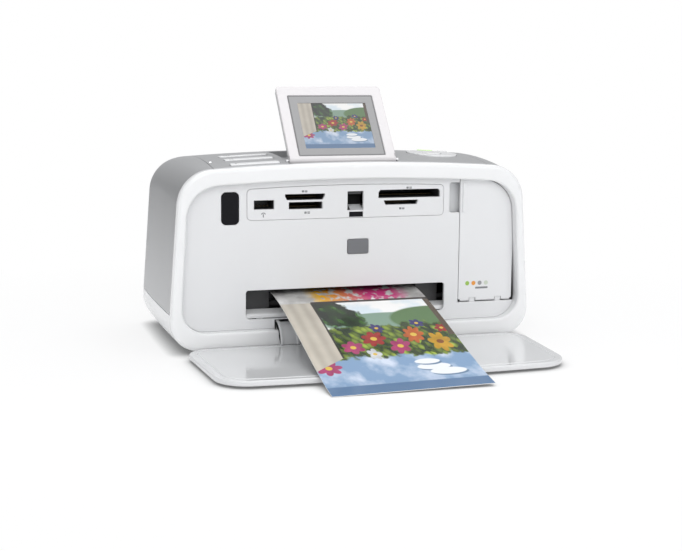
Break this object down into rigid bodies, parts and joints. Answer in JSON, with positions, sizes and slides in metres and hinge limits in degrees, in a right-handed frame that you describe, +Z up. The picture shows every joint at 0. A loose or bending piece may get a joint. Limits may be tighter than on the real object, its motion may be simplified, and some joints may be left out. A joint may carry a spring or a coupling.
{
  "type": "compact photo printer",
  "caption": "Compact photo printer with fold-down front tray, cartridge door, tilting screen, rear paper door, buttons and a moving print carriage.",
  "frame": {"origin": "on the table, below the middle of the front face", "axes": "+X to the right seen from the front, +Y to the back, +Z up"},
  "size_m": [0.2518, 0.242, 0.1717],
  "materials": {
    "shell_white": "glossy moulded plastic",
    "silver_satin": "satin silver-grey plastic",
    "panel_grey": "fine matt moulded plastic",
    "rear_grey": "fine matt moulded plastic",
    "latch_grey": "matt moulded plastic",
    "pin_steel": "ground steel",
    "screen_border": "clear window with a printed grey border",
    "screen_lit": null,
    "black_window": "dark translucent window",
    "dark_plastic": "matt moulded plastic",
    "cartridge_black": "matt moulded plastic",
    "board_green": "circuit board",
    "led_white": "clear lens",
    "button_white": "glossy moulded plastic",
    "button_green": "lit translucent cap",
    "foot_rubber": "moulded rubber",
    "roller_rubber": "ground rubber on steel shafts",
    "roller_grey": "moulded plastic on a steel shaft",
    "socket_metal": "plated sheet metal",
    "sheet_steel": "zinc-plated sheet",
    "gear_nylon": "moulded nylon",
    "encoder_film": "clear film with fine marks",
    "photo_paper": null
  },
  "bodies": {
    "printer": {"base": "shell_white", "front_frame": "shell_white", "front_panel": "panel_grey", "card_panel": "panel_grey", "side_cover_left": "silver_satin", "side_cover_right": "silver_satin", "top_panel": "silver_satin", "rear_cover": "rear_grey", "hinge_pins": "pin_steel", "ir_window": "black_window", "card_sockets": "dark_plastic", "card_reader_board": "board_green", "badge_plate": "panel_grey", "status_led": "led_white", "control_board": "board_green", "feet": "foot_rubber", "case_screws": "pin_steel", "power_inlet": "dark_plastic", "rear_usb_socket": "socket_metal", "main_board": "board_green", "chassis": "sheet_steel", "exit_chute": "latch_grey", "input_chute": "dark_plastic", "platen": "dark_plastic", "service_station": "dark_plastic", "carriage_rod": "pin_steel", "drive_belt": "foot_rubber", "carriage_motor": "sheet_steel", "encoder_strip": "encoder_film", "feed_motor": "sheet_steel", "photo_print": "photo_paper"},
    "output_tray": {"output_tray": "shell_white"},
    "tray_latch": {"tray_latch": "latch_grey"},
    "cartridge_door": {"cartridge_door": "panel_grey"},
    "screen": {"screen_bezel": "shell_white", "screen_back": "silver_satin", "screen_glass": "screen_border", "lcd_panel": "screen_lit"},
    "input_door": {"input_door": "rear_grey"},
    "extender": {"extender": "rear_grey"},
    "width_guide": {"width_guide": "rear_grey"},
    "carriage": {"carriage": "dark_plastic", "ink_cartridge": "cartridge_black"},
    "drive_pulley": {"drive_pulley": "gear_nylon"},
    "idler_pulley": {"idler_pulley": "gear_nylon"},
    "feed_roller": {"feed_roller": "roller_rubber", "feed_gear": "gear_nylon"},
    "feed_pinion": {"feed_pinion": "gear_nylon"},
    "pinch_rollers": {"pinch_rollers": "roller_grey"},
    "output_roller": {"output_roller": "roller_rubber"},
    "idler_gear": {"idler_gear": "gear_nylon"},
    "pick_roller": {"pick_roller": "roller_rubber"},
    "bar_button_front": {"bar_button_front": "button_white"},
    "bar_button_middle": {"bar_button_middle": "button_white"},
    "bar_button_rear": {"bar_button_rear": "button_white"},
    "nav_ring": {"nav_ring": "button_white"},
    "ok_button": {"ok_button": "button_white"},
    "print_button": {"print_button": "button_green"},
    "cancel_button": {"cancel_button": "button_white"},
    "power_button": {"power_button": "button_white"}
  },
  "joints": [
    {"name": "tray_hinge", "type": "hinge", "parent": "printer", "child": "output_tray", "pos_m": [0, 0.00725, 0.00625], "axis": [1, 0, 0], "range_deg": [-90, 0], "deforming": ["photo_print"]},
    {"name": "tray_latch_slide", "type": "slide", "parent": "printer", "child": "tray_latch", "axis": [0, 0, 1], "range_m": [0, 0.0015], "stiffness_N_per_m": 300},
    {"name": "cartridge_door_hinge", "type": "hinge", "parent": "printer", "child": "cartridge_door", "pos_m": [0.095, 0.0085, 0.0275], "axis": [1, 0, 0], "range_deg": [0, 85]},
    {"name": "screen_hinge", "type": "hinge", "parent": "printer", "child": "screen", "pos_m": [-0.0062, 0.0145, 0.1241], "axis": [1, 0, 0], "range_deg": [-50, 20]},
    {"name": "input_door_hinge", "type": "hinge", "parent": "printer", "child": "input_door", "pos_m": [0, 0.1182, 0.0662], "axis": [1, 0, 0], "range_deg": [-42, 0]},
    {"name": "extender_slide", "type": "slide", "parent": "input_door", "child": "extender", "axis": [0, 0, 1], "range_m": [0, 0.042]},
    {"name": "width_guide_slide", "type": "slide", "parent": "input_door", "child": "width_guide", "axis": [1, 0, 0], "range_m": [-0.013, 0]},
    {"name": "carriage_slide", "type": "slide", "parent": "printer", "child": "carriage", "axis": [1, 0, 0], "range_m": [-0.15, 0]},
    {"name": "drive_pulley_spin", "type": "hinge", "parent": "printer", "child": "drive_pulley", "pos_m": [-0.099, 0.083, 0.078], "axis": [0, 1, 0], "range_deg": [-1440, 0]},
    {"name": "idler_pulley_spin", "type": "hinge", "parent": "printer", "child": "idler_pulley", "pos_m": [0.099, 0.083, 0.078], "axis": [0, 1, 0], "range_deg": [-1440, 0]},
    {"name": "feed_roller_spin", "type": "hinge", "parent": "printer", "child": "feed_roller", "pos_m": [0, 0.062, 0.028], "axis": [1, 0, 0], "continuous": true},
    {"name": "feed_pinion_spin", "type": "hinge", "parent": "printer", "child": "feed_pinion", "pos_m": [-0.0965, 0.0781, 0.028], "axis": [1, 0, 0], "continuous": true},
    {"name": "idler_gear_spin", "type": "hinge", "parent": "printer", "child": "idler_gear", "pos_m": [-0.0965, 0.0419, 0.028], "axis": [1, 0, 0], "continuous": true},
    {"name": "output_roller_spin", "type": "hinge", "parent": "printer", "child": "output_roller", "pos_m": [0, 0.0238, 0.028], "axis": [1, 0, 0], "continuous": true},
    {"name": "pinch_rollers_spin", "type": "hinge", "parent": "printer", "child": "pinch_rollers", "pos_m": [0, 0.062, 0.0376], "axis": [1, 0, 0], "continuous": true},
    {"name": "pick_roller_spin", "type": "hinge", "parent": "printer", "child": "pick_roller", "pos_m": [0, 0.092, 0.0608], "axis": [1, 0, 0], "continuous": true},
    {"name": "bar_button_front_press", "type": "slide", "parent": "printer", "child": "bar_button_front", "axis": [0, 0, -1], "range_m": [0, 0.0008], "stiffness_N_per_m": 300},
    {"name": "bar_button_middle_press", "type": "slide", "parent": "printer", "child": "bar_button_middle", "axis": [0, 0, -1], "range_m": [0, 0.0008], "stiffness_N_per_m": 300},
    {"name": "bar_button_rear_press", "type": "slide", "parent": "printer", "child": "bar_button_rear", "axis": [0, 0, -1], "range_m": [0, 0.0008], "stiffness_N_per_m": 300},
    {"name": "nav_ring_press", "type": "slide", "parent": "printer", "child": "nav_ring", "axis": [0, 0, -1], "range_m": [0, 0.0008], "stiffness_N_per_m": 300},
    {"name": "ok_button_press", "type": "slide", "parent": "printer", "child": "ok_button", "axis": [0, 0, -1], "range_m": [0, 0.0008], "stiffness_N_per_m": 300},
    {"name": "print_button_press", "type": "slide", "parent": "printer", "child": "print_button", "axis": [0, 0, -1], "range_m": [0, 0.0008], "stiffness_N_per_m": 300},
    {"name": "cancel_button_press", "type": "slide", "parent": "printer", "child": "cancel_button", "axis": [0, 0, -1], "range_m": [0, 0.0008], "stiffness_N_per_m": 300},
    {"name": "power_button_press", "type": "slide", "parent": "printer", "child": "power_button", "axis": [0, 0, -1], "range_m": [0, 0.0008], "stiffness_N_per_m": 300}
  ],
  "couplings": [
    {"joint": "drive_pulley_spin", "follows": "carriage_slide", "rad_per_m": 166.67},
    {"joint": "idler_pulley_spin", "follows": "carriage_slide", "rad_per_m": 166.67},
    {"joint": "feed_pinion_spin", "follows": "feed_roller_spin", "ratio": -3},
    {"joint": "idler_gear_spin", "follows": "feed_roller_spin", "ratio": -1.5},
    {"joint": "output_roller_spin", "follows": "feed_roller_spin", "ratio": 1.2},
    {"joint": "pinch_rollers_spin", "follows": "feed_roller_spin", "ratio": -1.875},
    {"joint": "pick_roller_spin", "follows": "feed_roller_spin", "ratio": 0.75}
  ]
}
